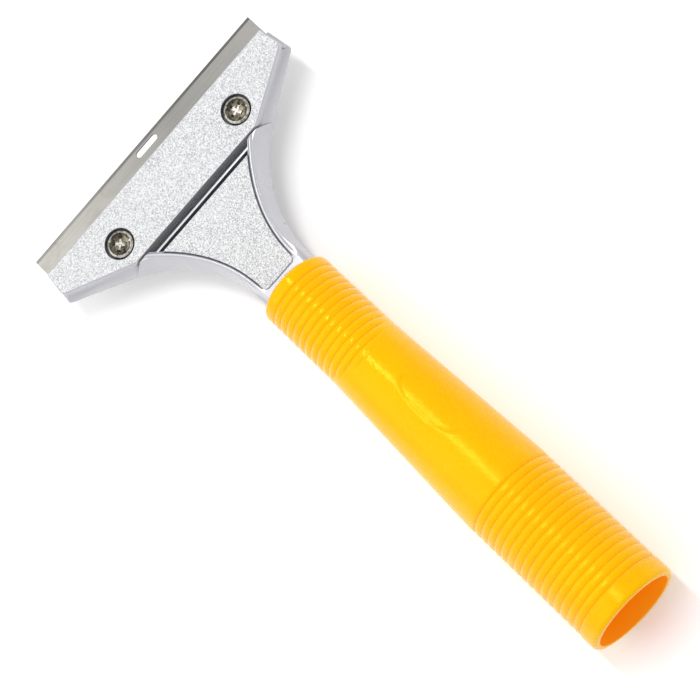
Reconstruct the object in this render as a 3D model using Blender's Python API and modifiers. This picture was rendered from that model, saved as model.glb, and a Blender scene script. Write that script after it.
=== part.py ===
"""Hand scraper: a 100 mm steel blade clamped in a die-cast head on a hollow plastic handle.

The frame: +X along the blade, +Y from the butt towards the cutting edge, +Z out of the face
that carries the clamp screws. The origin is on the handle's axis, halfway along the tool.
Places along the tool are given as a setback: how far they lie behind the cutting edge.
"""

import math

import bmesh
import bpy
from mathutils import Matrix, Vector

MM = 0.001
GAP = 0.3 * MM

# The whole tool
TOOL_LENGTH = 212 * MM
EDGE_Y = TOOL_LENGTH / 2

# Blade
BLADE_LENGTH = 100 * MM
BLADE_DEPTH = 16 * MM
BLADE_THICKNESS = 0.6 * MM
BLADE_GRIND = 1.1 * MM
BLADE_BASE_Z = 1.1 * MM
SLOT_LENGTH = 9.1 * MM
SLOT_WIDTH = 2.1 * MM
SLOT_SETBACK = 2.8 * MM

# Clamp plate
PLATE_FRONT = 7.5 * MM
PLATE_SHOULDER = 16.0 * MM
PLATE_REAR = 27.6 * MM
PLATE_FRONT_HALF = 49.7 * MM
PLATE_SHOULDER_HALF = 50.8 * MM
PLATE_REAR_HALF = 28.1 * MM
PLATE_BASE_Z = BLADE_BASE_Z + BLADE_THICKNESS + GAP
PLATE_TOP_Z = 5.0 * MM
PLATE_CORNER_RADIUS = 2.2 * MM
PLATE_EDGE_BEVEL = 0.35 * MM
PLATE_REAR_BEVEL = 0.9 * MM

# Clamp screws, M5 by 0.8 mm
SCREW_HALF_SPACING = 27.05 * MM
SCREW_SETBACK = 19.3 * MM
SCREW_RADIUS = 2.5 * MM
SCREW_HEAD_RADIUS = 4.55 * MM
SCREW_HEAD_HEIGHT = 1.7 * MM
SCREW_TIP_Z = -2.0 * MM
SCREW_TIP_CHAMFER = 0.5 * MM
HEAD_DOME = ((0.55, 0.10), (0.82, 0.35), (0.96, 0.75), (1.0, 1.15))
SCREW_HOLE_RADIUS = 2.8 * MM
COUNTERBORE_RADIUS = 5.0 * MM
COUNTERBORE_DEPTH = 1.8 * MM
RECESS_LENGTH = 5.0 * MM
RECESS_WIDTH = 1.0 * MM
RECESS_DEPTH = 1.1 * MM
LEFT_RECESS_TURN = math.radians(38)
RIGHT_RECESS_TURN = math.radians(17)

# Head casting
LIP_SETBACK = 7.9 * MM
SEAT_Z = BLADE_BASE_Z - GAP
PAD_Z = PLATE_BASE_Z - GAP
LIP_BASE_Z = -0.3 * MM
PAD_START = BLADE_DEPTH + GAP
FAN_START = PLATE_REAR + 0.4 * MM
RIM_Z = 4.0 * MM
BASE_Z = -4.5 * MM
BASE_START = 30 * MM
BASE_CURVE = 1.15
STEP_RUN = 0.1 * MM
BAR_SETBACK = 12 * MM
SHOULDER_STEP = 2.2 * MM
SHOULDER_STEPS = 5
FAN_STEP = 2.4 * MM
FAN_STEPS = 13
END_FLARE = 1.0 * MM
SLANT_FLARE = 2.6 * MM
FAN_FLARE = 1.6 * MM
CORNER_BLEND = 5.0 * MM
TOP_ROUND = 0.5 * MM
BASE_ROUND = 2.0 * MM
ROUND_SHARE = 0.3
WALL_LEAN = 0.6

# Fan panel, its rim and the channel in front of it
RIM_WIDTH = 2.0 * MM
PANEL_NECK = 65.8 * MM
PANEL_NECK_HALF = 6.4 * MM
PANEL_SPREAD = 16.6 * MM
PANEL_RUN = 38 * MM
PANEL_POWER = 2.2
PANEL_TOP_Z = 4.6 * MM
CHANNEL_FLOOR_Z = 0.4 * MM
RIDGE_TOP_Z = 3.8 * MM
RIDGE_FRONT = 29.8 * MM
RIDGE_REAR = 30.4 * MM
CHANNEL_REAR = 31.9 * MM

# Underside pockets either side of a middle web
POCKET_FRONT = 34 * MM
POCKET_REAR = 58 * MM
POCKET_WEB_HALF = 2.5 * MM
POCKET_WALL = 2.6 * MM
POCKET_DEPTH = 2.0 * MM

# Neck and tang
NECK_BLEND = 52 * MM
NECK_START = 62 * MM
NECK_MIDDLE = 64 * MM
NECK_END = 67.5 * MM
NECK_HALF = 9.8 * MM
NECK_TOP_ROUND = 2.6 * MM
NECK_BASE_ROUND = 3.4 * MM
TANG_START = 68.6 * MM
TANG_END = 109 * MM
TANG_RADIUS = 8.6 * MM
TANG_CHAMFER = 1.0 * MM

# Handle
HANDLE_FRONT = 70 * MM
HANDLE_FRONT_RADIUS = 12.45 * MM
HANDLE_REAR_RADIUS = 15.25 * MM
TAPER_START = 101 * MM
TAPER_END = 160 * MM
FRONT_EDGE_ROUND = 1.6 * MM
RIB_PITCH = 2.65 * MM
RIB_DEPTH = 0.45 * MM
FRONT_RIBS_START = 74.5 * MM
FRONT_RIB_COUNT = 12
REAR_RIBS_START = 163.2 * MM
REAR_RIB_COUNT = 16
LIP_START = 206.5 * MM
LIP_RADIUS = 15.4 * MM
LIP_ROUND = 1.2 * MM
SOCKET_RADIUS = TANG_RADIUS + GAP
SOCKET_END = 112 * MM
BORE_FRONT_RADIUS = 11.9 * MM
BORE_START = 116 * MM
BORE_REAR_RADIUS = 13.2 * MM

# Smoothness of the round pieces
HANDLE_SIDES = 24
HOLE_SIDES = 24
SCREW_SIDES = 24
TANG_SIDES = 24
CORNER_STEPS = 4

# name: (colour, roughness, metallic)
FINISHES = {
    "cast_silver": ((0.74, 0.75, 0.77), 0.42, 0.6),
    "plate_silver": ((0.78, 0.79, 0.80), 0.45, 0.6),
    "blade_steel": ((0.48, 0.47, 0.43), 0.36, 0.95),
    "screw_nickel": ((0.36, 0.33, 0.28), 0.28, 1.0),
    "yellow_plastic": ((0.98, 0.56, 0.01), 0.30, 0.0),
}


def y_of(setback):
    """The Y of a place this far behind the cutting edge."""
    return EDGE_Y - setback


# ---------------------------------------------------------------- Blender helpers


def clear_scene():
    for item in list(bpy.data.objects):
        bpy.data.objects.remove(item, do_unlink=True)


def new_collection(name):
    collection = bpy.data.collections.new(name)
    bpy.context.scene.collection.children.link(collection)
    return collection


def finish_of(name):
    """The Principled material of a finish, made once."""
    material = bpy.data.materials.get(name)
    if material is None:
        colour, roughness, metallic = FINISHES[name]
        material = bpy.data.materials.new(name)
        material.use_nodes = True
        shader = material.node_tree.nodes["Principled BSDF"]
        shader.inputs["Base Color"].default_value = (*colour, 1.0)
        shader.inputs["Roughness"].default_value = roughness
        shader.inputs["Metallic"].default_value = metallic
    return material


def add_object(name, mesh, collection, finish=None):
    item = bpy.data.objects.new(name, mesh)
    collection.objects.link(item)
    if finish:
        mesh.materials.append(finish_of(finish))
    return item


def mesh_of(name, bm):
    bmesh.ops.recalc_face_normals(bm, faces=bm.faces)
    mesh = bpy.data.meshes.new(name)
    bm.to_mesh(mesh)
    bm.free()
    return mesh


def smooth(item, angle=35):
    item.data.shade_smooth()
    item.data.set_sharp_from_angle(angle=math.radians(angle))


def move_origin(item, point):
    """Put the object's origin at a world point without moving its shape."""
    item.data.transform(Matrix.Translation(-Vector(point)))
    item.location = point


def slab_mesh(name, outline, low, high):
    """A flat outline of (x, y) points filled between two heights."""
    curve = bpy.data.curves.new(name, "CURVE")
    curve.dimensions = "2D"
    curve.fill_mode = "BOTH"
    curve.extrude = (high - low) / 2
    spline = curve.splines.new("POLY")
    spline.points.add(len(outline) - 1)
    for point, (x, y) in zip(spline.points, outline):
        point.co = (x, y, 0, 1)
    spline.use_cyclic_u = True
    source = bpy.data.objects.new(name, curve)
    bpy.context.scene.collection.objects.link(source)
    bpy.context.view_layer.update()
    evaluated = source.evaluated_get(bpy.context.evaluated_depsgraph_get())
    mesh = bpy.data.meshes.new_from_object(evaluated)
    bpy.data.objects.remove(source)
    bpy.data.curves.remove(curve)
    mesh.name = name
    mesh.transform(Matrix.Translation((0, 0, (low + high) / 2)))
    bm = bmesh.new()
    bm.from_mesh(mesh)
    bmesh.ops.remove_doubles(bm, verts=bm.verts, dist=0.00001)
    bmesh.ops.dissolve_limit(bm, angle_limit=math.radians(1), verts=bm.verts, edges=bm.edges)
    bm.to_mesh(mesh)
    bm.free()
    return mesh


def drill_mesh(name, radius, x, y, low, high):
    """A cylinder along Z."""
    bm = bmesh.new()
    place = Matrix.Translation((x, y, (low + high) / 2))
    bmesh.ops.create_cone(
        bm, cap_ends=True, segments=HOLE_SIDES,
        radius1=radius, radius2=radius, depth=high - low, matrix=place,
    )
    return mesh_of(name, bm)


def add_boolean(item, mesh, cutters, operation="DIFFERENCE"):
    """Cut or join a mesh, kept as a hidden wire object in the cutters' collection."""
    tool = add_object(mesh.name, mesh, cutters)
    tool.hide_render = True
    tool.display_type = "WIRE"
    modifier = item.modifiers.new(mesh.name, "BOOLEAN")
    modifier.operation = operation
    modifier.object = tool
    modifier.solver = "EXACT"
    return tool


def turn(item, sides):
    """Turn the object's profile into a solid about its local Z axis."""
    screw = item.modifiers.new("turn", "SCREW")
    screw.axis = "Z"
    screw.angle = math.tau
    screw.steps = sides
    screw.render_steps = sides
    screw.use_merge_vertices = True
    screw.merge_threshold = 0.00001
    screw.use_smooth_shade = True
    return screw


def profile_mesh(name, points, closed):
    """A chain of (radius, height) points in the XZ plane."""
    count = len(points)
    edges = [(i, (i + 1) % count) for i in range(count if closed else count - 1)]
    mesh = bpy.data.meshes.new(name)
    mesh.from_pydata([(radius, 0, height) for radius, height in points], edges, [])
    return mesh


# ---------------------------------------------------------------- outlines


def lerp(a, b, t):
    return a + (b - a) * t


def ramp(value, start, end):
    """0 before start, 1 after end, and a smooth step between."""
    t = min(max((value - start) / (end - start), 0), 1)
    return t * t * (3 - 2 * t)


def smooth_max(a, b, blend):
    return (a + b + math.hypot(a - b, blend)) / 2


def slant_half(setback):
    """Half the width between the plate's two slanted rear edges."""
    t = (setback - PLATE_SHOULDER) / (PLATE_REAR - PLATE_SHOULDER)
    return lerp(PLATE_SHOULDER_HALF, PLATE_REAR_HALF, t)


def end_half(setback):
    """Half the width between the plate's two ends."""
    t = (setback - PLATE_FRONT) / (PLATE_SHOULDER - PLATE_FRONT)
    return lerp(PLATE_FRONT_HALF, PLATE_SHOULDER_HALF, t)


def panel_half(setback):
    """Half the width of the fan panel, which narrows in a curve to the neck."""
    t = max(PANEL_NECK - setback, 0) / PANEL_RUN
    return PANEL_NECK_HALF + PANEL_SPREAD * t**PANEL_POWER


def panel_slope(setback):
    t = max(PANEL_NECK - setback, 0) / PANEL_RUN
    return PANEL_SPREAD * PANEL_POWER / PANEL_RUN * t ** (PANEL_POWER - 1)


def fan_half(setback, offset):
    """Half the width of the panel's outline moved outwards by an offset."""
    return panel_half(setback) + offset * math.hypot(1, panel_slope(setback))


def casting_top_half(setback):
    if setback <= PLATE_SHOULDER:
        return end_half(setback)
    fan = fan_half(setback, RIM_WIDTH)
    neck = lerp(fan, NECK_HALF, ramp(setback, NECK_BLEND, NECK_END))
    return max(slant_half(setback), fan, neck)


def casting_base_half(setback):
    slant = slant_half(setback) + SLANT_FLARE
    fan = max(fan_half(setback, RIM_WIDTH + FAN_FLARE), NECK_HALF)
    behind = smooth_max(slant, fan, CORNER_BLEND)
    return min(end_half(min(setback, PLATE_SHOULDER)) + END_FLARE, behind)


def casting_top_z(setback):
    if setback <= PAD_START:
        return SEAT_Z
    if setback <= FAN_START:
        return PAD_Z
    return RIM_Z


def casting_base_z(setback):
    t = min((setback - LIP_SETBACK) / (BASE_START - LIP_SETBACK), 1)
    return lerp(LIP_BASE_Z, BASE_Z, t**BASE_CURVE)


def rounded_corner(before, corner, after, radius):
    """Points of the arc that rounds a corner, from the side of before to the side of after."""
    corner = Vector(corner)
    back = (Vector(before) - corner).normalized()
    ahead = (Vector(after) - corner).normalized()
    half = back.angle(ahead) / 2
    centre = corner + (back + ahead).normalized() * (radius / math.sin(half))
    start = corner + back * (radius / math.tan(half)) - centre
    finish = corner + ahead * (radius / math.tan(half)) - centre
    points = []
    for step in range(CORNER_STEPS + 1):
        ray = start.lerp(finish, step / CORNER_STEPS).normalized()
        points.append(tuple(centre + ray * radius))
    return points


def mirrored(half):
    """A closed outline from its points at +X, listed from front to rear."""
    return half + [(-x, y) for x, y in reversed(half)]


def plate_outline():
    front = (PLATE_FRONT_HALF, y_of(PLATE_FRONT))
    shoulder = (PLATE_SHOULDER_HALF, y_of(PLATE_SHOULDER))
    rear = (PLATE_REAR_HALF, y_of(PLATE_REAR))
    middle = (0, y_of(PLATE_REAR))
    half = [front]
    half += rounded_corner(front, shoulder, rear, PLATE_CORNER_RADIUS)
    half += rounded_corner(shoulder, rear, middle, PLATE_CORNER_RADIUS)
    return mirrored(half)


def panel_outline(inset, front, rear, steps):
    """The fan panel's outline between two setbacks, pulled in by an inset."""
    half = []
    for step in range(steps + 1):
        setback = lerp(front, rear, step / steps)
        half.append((fan_half(setback, -inset), y_of(setback)))
    return mirrored(half)


def stadium(length, width, x, y):
    """A slot's outline along X with round ends."""
    radius = width / 2
    reach = length / 2 - radius
    points = []
    for side in (1, -1):
        for step in range(7):
            angle = math.radians(-90 + 30 * step)
            across = side * (reach + radius * math.cos(angle))
            points.append((x + across, y + side * radius * math.sin(angle)))
    return points


# ---------------------------------------------------------------- head casting


def casting_section(setback):
    """Half of the casting's cross-section at a setback, as (x, z) from top to bottom."""
    top_half, base_half = casting_top_half(setback), casting_base_half(setback)
    top, base = casting_top_z(setback), casting_base_z(setback)
    height = top - base
    neck = ramp(setback, NECK_START, NECK_END)
    top_round = lerp(min(TOP_ROUND, height / 3), NECK_TOP_ROUND, neck)
    base_round = lerp(min(BASE_ROUND, height / 3), NECK_BASE_ROUND, neck)
    wall_half = lerp(top_half, base_half, WALL_LEAN)
    return [
        (0, top),
        (top_half - top_round, top),
        (top_half - top_round * ROUND_SHARE, top - top_round * ROUND_SHARE),
        (lerp(top_half, wall_half, 0.2), top - top_round),
        (wall_half, (top - top_round + base + base_round) / 2),
        (base_half, base + base_round),
        (base_half - base_round * ROUND_SHARE, base + base_round * ROUND_SHARE),
        (base_half - base_round, base),
        (0, base),
    ]


def casting_setbacks():
    """Where the cross-sections of the casting lie, closest together where its outline bends."""
    bar = [LIP_SETBACK, BAR_SETBACK, PLATE_SHOULDER, PAD_START, PAD_START + STEP_RUN]
    shoulder = [PLATE_SHOULDER + 1 * MM + step * SHOULDER_STEP for step in range(SHOULDER_STEPS)]
    root = [FAN_START, FAN_START + STEP_RUN]
    fan = [FAN_START + 0.9 * MM + step * FAN_STEP for step in range(FAN_STEPS)]
    neck = [NECK_START, NECK_MIDDLE, PANEL_NECK, NECK_END, HANDLE_FRONT - GAP]
    return bar + shoulder + root + fan + neck


def casting_body():
    """The casting's outer shape, lofted through its cross-sections."""
    bm = bmesh.new()
    rows = []
    for setback in casting_setbacks():
        half = casting_section(setback)
        ring = half + [(-x, z) for x, z in reversed(half[1:-1])]
        rows.append([bm.verts.new((x, y_of(setback), z)) for x, z in ring])
    for front, rear in zip(rows, rows[1:]):
        count = len(front)
        for i in range(count):
            j = (i + 1) % count
            bm.faces.new((front[i], front[j], rear[j], rear[i]))
    bm.faces.new(rows[0])
    bm.faces.new(rows[-1])
    return mesh_of("head_casting", bm)


def tang_mesh():
    bm = bmesh.new()
    straight = TANG_END - TANG_CHAMFER - TANG_START
    lie_along_y = Matrix.Rotation(math.radians(90), 4, "X")
    middle = Matrix.Translation((0, y_of(TANG_START + straight / 2), 0)) @ lie_along_y
    bmesh.ops.create_cone(
        bm, cap_ends=True, segments=TANG_SIDES,
        radius1=TANG_RADIUS, radius2=TANG_RADIUS, depth=straight, matrix=middle,
    )
    end = min(bm.faces, key=lambda face: face.calc_center_median().y)
    moved = bmesh.ops.extrude_face_region(bm, geom=[end])["geom"]
    shrink = 1 - TANG_CHAMFER / TANG_RADIUS
    for vert in moved:
        if isinstance(vert, bmesh.types.BMVert):
            vert.co.y -= TANG_CHAMFER
            vert.co.x *= shrink
            vert.co.z *= shrink
    bmesh.ops.delete(bm, geom=[end], context="FACES")
    return mesh_of("tang", bm)


def channel_outline(front, rear):
    """The channel's outline between two setbacks, as wide as the panel's curve there."""
    return mirrored([(panel_half(front), y_of(front)), (panel_half(rear), y_of(rear))])


def pocket_outline(side):
    """One underside pocket, between the middle web and the casting's side wall."""
    steps = 6
    outer = []
    for step in range(steps + 1):
        setback = lerp(POCKET_FRONT, POCKET_REAR, step / steps)
        outer.append((side * fan_half(setback, RIM_WIDTH - POCKET_WALL), y_of(setback)))
    web = side * POCKET_WEB_HALF
    return outer + [(web, y_of(POCKET_REAR)), (web, y_of(POCKET_FRONT))]


def build_casting(parts, cutters):
    casting = add_object("head_casting", casting_body(), parts, "cast_silver")
    add_boolean(casting, tang_mesh(), cutters, "UNION")
    panel = panel_outline(0, CHANNEL_REAR - GAP, PANEL_NECK, 10)
    joined = slab_mesh("panel", panel, RIM_Z - 1 * MM, PANEL_TOP_Z)
    add_boolean(casting, joined, cutters, "UNION")
    clear_z = PANEL_TOP_Z + 1 * MM
    trenches = (
        ("channel", FAN_START - GAP, CHANNEL_REAR, RIDGE_TOP_Z),
        ("trench_front", FAN_START - GAP, RIDGE_FRONT, CHANNEL_FLOOR_Z),
        ("trench_rear", RIDGE_REAR, CHANNEL_REAR, CHANNEL_FLOOR_Z),
    )
    for name, front, rear, floor in trenches:
        add_boolean(casting, slab_mesh(name, channel_outline(front, rear), floor, clear_z), cutters)
    for name, side in (("pocket_left", -1), ("pocket_right", 1)):
        outline = pocket_outline(side)
        add_boolean(casting, slab_mesh(name, outline, BASE_Z - 1 * MM, BASE_Z + POCKET_DEPTH), cutters)
    for name, side in (("tapping_left", -1), ("tapping_right", 1)):
        x = side * SCREW_HALF_SPACING
        hole = drill_mesh(name, SCREW_HOLE_RADIUS, x, y_of(SCREW_SETBACK), 2 * BASE_Z, RIM_Z)
        add_boolean(casting, hole, cutters)
    smooth(casting)
    return casting


# ---------------------------------------------------------------- plate, blade and screws


def bevel_top_edges(mesh, top, rear_y):
    """Break the slab's top edges, with a wider bevel along its rear."""
    bm = bmesh.new()
    bm.from_mesh(mesh)
    upper = [e for e in bm.edges if all(abs(v.co.z - top) < 0.01 * MM for v in e.verts)]
    rear = [e for e in upper if all(abs(v.co.y - rear_y) < 0.01 * MM for v in e.verts)]
    others = [e for e in upper if e not in rear and len(e.link_faces) == 2]
    others = [e for e in others if e.calc_face_angle() > math.radians(45)]
    bmesh.ops.bevel(bm, geom=others, offset=PLATE_EDGE_BEVEL, segments=1, affect="EDGES")
    rear = [
        e for e in bm.edges
        if all(abs(v.co.z - top) < 0.01 * MM and abs(v.co.y - rear_y) < 0.01 * MM for v in e.verts)
    ]
    bmesh.ops.bevel(bm, geom=rear, offset=PLATE_REAR_BEVEL, segments=1, affect="EDGES")
    bm.to_mesh(mesh)
    bm.free()


def build_plate(parts, cutters):
    mesh = slab_mesh("clamp_plate", plate_outline(), PLATE_BASE_Z, PLATE_TOP_Z)
    bevel_top_edges(mesh, PLATE_TOP_Z, y_of(PLATE_REAR))
    plate = add_object("clamp_plate", mesh, parts, "plate_silver")
    move_origin(plate, (0, y_of(SCREW_SETBACK), PLATE_BASE_Z))
    floor = PLATE_TOP_Z - COUNTERBORE_DEPTH
    y = y_of(SCREW_SETBACK)
    for label, side in (("left", -1), ("right", 1)):
        x = side * SCREW_HALF_SPACING
        bore = drill_mesh(f"counterbore_{label}", COUNTERBORE_RADIUS, x, y, floor, 2 * PLATE_TOP_Z)
        add_boolean(plate, bore, cutters)
        hole = drill_mesh(f"clearance_{label}", SCREW_HOLE_RADIUS, x, y, 0, PLATE_TOP_Z)
        add_boolean(plate, hole, cutters)
    smooth(plate, 20)
    return plate


def blade_profile():
    """The strip's cross-section as (y, z), ground to an edge on both long sides."""
    top = BLADE_BASE_Z + BLADE_THICKNESS
    middle = BLADE_BASE_Z + BLADE_THICKNESS / 2
    front, rear = EDGE_Y, y_of(BLADE_DEPTH)
    return [
        (front, middle),
        (front - BLADE_GRIND, top),
        (rear + BLADE_GRIND, top),
        (rear, middle),
        (rear + BLADE_GRIND, BLADE_BASE_Z),
        (front - BLADE_GRIND, BLADE_BASE_Z),
    ]


def build_blade(parts, cutters):
    """A double-edged strip, so it can be turned round when one edge is worn."""
    mesh = slab_mesh("blade", blade_profile(), -BLADE_LENGTH / 2, BLADE_LENGTH / 2)
    along_x = Matrix(((0, 0, 1, 0), (1, 0, 0, 0), (0, 1, 0, 0), (0, 0, 0, 1)))
    mesh.transform(along_x)
    blade = add_object("blade", mesh, parts, "blade_steel")
    move_origin(blade, (0, y_of(BLADE_DEPTH / 2), BLADE_BASE_Z))
    low, high = BLADE_BASE_Z - 1 * MM, BLADE_BASE_Z + BLADE_THICKNESS + 1 * MM
    for label, setback in (("front", SLOT_SETBACK), ("rear", BLADE_DEPTH - SLOT_SETBACK)):
        outline = stadium(SLOT_LENGTH, SLOT_WIDTH, 0, y_of(setback))
        add_boolean(blade, slab_mesh(f"slot_{label}", outline, low, high), cutters)
    return blade


def screw_profile():
    """A pan head and its shank as (radius, z), from the top of the head down to the tip."""
    seat = PLATE_TOP_Z - COUNTERBORE_DEPTH + GAP
    top = seat + SCREW_HEAD_HEIGHT
    dome = [(SCREW_HEAD_RADIUS * share, top - drop * MM) for share, drop in HEAD_DOME]
    shank = [
        (SCREW_HEAD_RADIUS, seat),
        (SCREW_RADIUS, seat),
        (SCREW_RADIUS, SCREW_TIP_Z + SCREW_TIP_CHAMFER),
        (SCREW_RADIUS - SCREW_TIP_CHAMFER, SCREW_TIP_Z),
        (0, SCREW_TIP_Z),
    ]
    return [(0, top)] + dome + shank


def recess_mesh(name, x, y, top, angle):
    """One bar of the cross recess, reaching above the head so that it cuts clean."""
    bm = bmesh.new()
    place = Matrix.Translation((x, y, top - RECESS_DEPTH / 2)) @ Matrix.Rotation(angle, 4, "Z")
    size = Matrix.Diagonal((RECESS_LENGTH, RECESS_WIDTH, RECESS_DEPTH + 1 * MM, 1))
    lift = Matrix.Translation((0, 0, 0.5 * MM))
    bmesh.ops.create_cube(bm, size=1, matrix=place @ lift @ size)
    return mesh_of(name, bm)


def build_screw(label, side, angle, parts, cutters):
    x, y = side * SCREW_HALF_SPACING, y_of(SCREW_SETBACK)
    mesh = profile_mesh(f"clamp_screw_{label}", screw_profile(), closed=False)
    screw = add_object(f"clamp_screw_{label}", mesh, parts, "screw_nickel")
    screw.location = (x, y, 0)
    turn(screw, SCREW_SIDES)
    top = PLATE_TOP_Z - COUNTERBORE_DEPTH + GAP + SCREW_HEAD_HEIGHT
    for part, quarter in (("long", 0), ("cross", math.radians(90))):
        recess = recess_mesh(f"recess_{label}_{part}", x, y, top, angle + quarter)
        add_boolean(screw, recess, cutters)
    return screw


# ---------------------------------------------------------------- handle


def handle_radius(setback):
    """The handle's outside radius between its ribs."""
    t = min(max((setback - TAPER_START) / (TAPER_END - TAPER_START), 0), 1)
    return lerp(HANDLE_FRONT_RADIUS, HANDLE_REAR_RADIUS, t)


def rib_points(start, count):
    """Crest and groove of a run of ring ribs, as (radius, y)."""
    points = []
    for rib in range(count):
        groove = start + rib * RIB_PITCH
        crest = groove + RIB_PITCH / 2
        points.append((handle_radius(groove) - RIB_DEPTH, y_of(groove)))
        points.append((handle_radius(crest), y_of(crest)))
    end = start + count * RIB_PITCH
    points.append((handle_radius(end) - RIB_DEPTH, y_of(end)))
    return points


def handle_outside():
    """The outside from the front face to the butt, as (radius, y)."""
    front = HANDLE_FRONT
    points = []
    for step in range(4):
        angle = math.radians(30 * step)
        radius = HANDLE_FRONT_RADIUS - FRONT_EDGE_ROUND * (1 - math.sin(angle))
        points.append((radius, y_of(front + FRONT_EDGE_ROUND * (1 - math.cos(angle)))))
    points.append((handle_radius(FRONT_RIBS_START), y_of(FRONT_RIBS_START - RIB_PITCH / 2)))
    points += rib_points(FRONT_RIBS_START, FRONT_RIB_COUNT)
    waist_start = FRONT_RIBS_START + (FRONT_RIB_COUNT + 0.5) * RIB_PITCH
    waist_end = REAR_RIBS_START - RIB_PITCH / 2
    for step in range(7):
        setback = lerp(waist_start, waist_end, step / 6)
        points.append((handle_radius(setback), y_of(setback)))
    points += rib_points(REAR_RIBS_START, REAR_RIB_COUNT)
    points.append((LIP_RADIUS, y_of(LIP_START)))
    for step in range(4):
        angle = math.radians(30 * step)
        radius = LIP_RADIUS - LIP_ROUND * (1 - math.cos(angle))
        points.append((radius, y_of(TOOL_LENGTH - LIP_ROUND * (1 - math.sin(angle)))))
    return points


def handle_inside():
    """The bore from the butt back to the front face, as (radius, y)."""
    return [
        (BORE_REAR_RADIUS, y_of(TOOL_LENGTH)),
        (BORE_FRONT_RADIUS, y_of(BORE_START)),
        (SOCKET_RADIUS, y_of(SOCKET_END)),
        (SOCKET_RADIUS, y_of(HANDLE_FRONT)),
    ]


def build_handle(parts):
    """A tapered tube on the tang, turned about the tool's long axis."""
    mesh = profile_mesh("handle", handle_outside() + handle_inside(), closed=True)
    handle = add_object("handle", mesh, parts, "yellow_plastic")
    handle.rotation_euler = (math.radians(-90), 0, 0)
    turn(handle, HANDLE_SIDES)
    return handle


def main():
    clear_scene()
    parts = new_collection("blade_scraper")
    cutters = new_collection("cutters")
    build_casting(parts, cutters)
    build_plate(parts, cutters)
    build_blade(parts, cutters)
    build_screw("left", -1, LEFT_RECESS_TURN, parts, cutters)
    build_screw("right", 1, RIGHT_RECESS_TURN, parts, cutters)
    build_handle(parts)


main()
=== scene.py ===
"""Looks of the hand scraper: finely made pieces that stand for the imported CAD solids.

The frame is the CAD frame: +X along the blade, +Y from the butt towards the cutting edge, +Z out
of the face with the screws. Places along the tool are setbacks, in millimetres behind the edge.
Lengths are in millimetres unless a comment says otherwise.
"""

import math

import bmesh
import bpy
from mathutils import Matrix, Vector


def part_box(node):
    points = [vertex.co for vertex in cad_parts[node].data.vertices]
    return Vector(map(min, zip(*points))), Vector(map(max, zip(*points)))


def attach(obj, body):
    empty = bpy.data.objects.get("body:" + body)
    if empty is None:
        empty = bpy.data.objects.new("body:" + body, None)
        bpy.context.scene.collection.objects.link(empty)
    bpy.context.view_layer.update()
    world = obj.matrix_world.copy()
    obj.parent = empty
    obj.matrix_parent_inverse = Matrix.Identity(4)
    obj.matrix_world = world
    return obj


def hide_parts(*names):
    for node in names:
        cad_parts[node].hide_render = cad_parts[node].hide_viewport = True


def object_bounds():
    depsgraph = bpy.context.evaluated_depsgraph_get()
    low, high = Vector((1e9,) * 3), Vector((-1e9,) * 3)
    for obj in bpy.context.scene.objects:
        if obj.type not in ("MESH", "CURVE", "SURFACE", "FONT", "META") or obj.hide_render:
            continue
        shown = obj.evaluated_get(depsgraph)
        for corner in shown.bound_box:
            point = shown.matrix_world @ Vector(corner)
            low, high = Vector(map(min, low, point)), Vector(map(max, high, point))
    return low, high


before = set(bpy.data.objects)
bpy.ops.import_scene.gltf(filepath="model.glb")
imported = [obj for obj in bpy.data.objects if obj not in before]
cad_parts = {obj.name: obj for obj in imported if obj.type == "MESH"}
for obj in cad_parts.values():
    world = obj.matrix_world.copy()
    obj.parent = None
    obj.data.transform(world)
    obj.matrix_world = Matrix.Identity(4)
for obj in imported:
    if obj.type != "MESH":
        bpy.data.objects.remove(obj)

MM = 0.001
CAD_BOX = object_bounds()
EDGE_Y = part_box("blade")[1].y
GAP = 0.3

# Margins that decide which edges and faces are meant. SAME is in metres.
SAME = 1e-5
NEAR, JUST_BELOW = 0.02, 0.05

# Cutting solids: the height they reach, and how far they pass what they cut
CUT_TOP, CUT_PAST = 6.0, 1.0
BEVEL_SEGMENTS, ROUND_SEGMENTS = 3, 64

# Handle, turned about the Y axis. Each run of ribs is (start, number of ribs).
HANDLE_FRONT, HANDLE_END = 70.0, 212.0
FRONT_RADIUS, REAR_RADIUS = 12.45, 15.25
TAPER_START, TAPER_END = 101.0, 160.0
FRONT_ROUND, ROUND_STEPS = 1.6, 8
RIB_PITCH, RIB_DEPTH, RIB_POWER = 2.65, 0.34, 1.05
RIB_RUNS = ((74.5, 12), (163.2, 16))
FRONT_RIBS_SIDE_END, FRONT_RIBS_TOP_END, FRONT_RIBS_CURVE = 99.0, 107.5, 1.5
FRONT_RIBS_FADE_BEFORE, FRONT_RIBS_FADE_AFTER = 2.5, 0.8
RIB_STEPS = 10
RIB_FADE = 0.4
PLAIN_STEP, FADE_STEP, INSET_STEP, LIP_STEP, BORE_STEP = 0.6, 0.25, 0.3, 1.2, 8
LIP_START, LIP_RISE_LENGTH, LIP_RADIUS, LIP_ROUND = 206.5, 0.35, 15.38, 1.3
SOCKET_RADIUS, SOCKET_END = 8.9, 112.0
BORE_START, BORE_FRONT_RADIUS, BORE_REAR_RADIUS = 116.0, 11.9, 13.2
BORE_ROUND, BORE_ROUND_STEPS = 0.3, 4
HANDLE_SEGMENTS = 144
INSET_SETBACK, INSET_HALF_LENGTH, INSET_HALF_WIDTH = 130.6, 12.4, 4.7
INSET_ANGLE = math.radians(18)
INSET_DEPTH, INSET_EDGE = 0.22, (0.96, 1.02)

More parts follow.
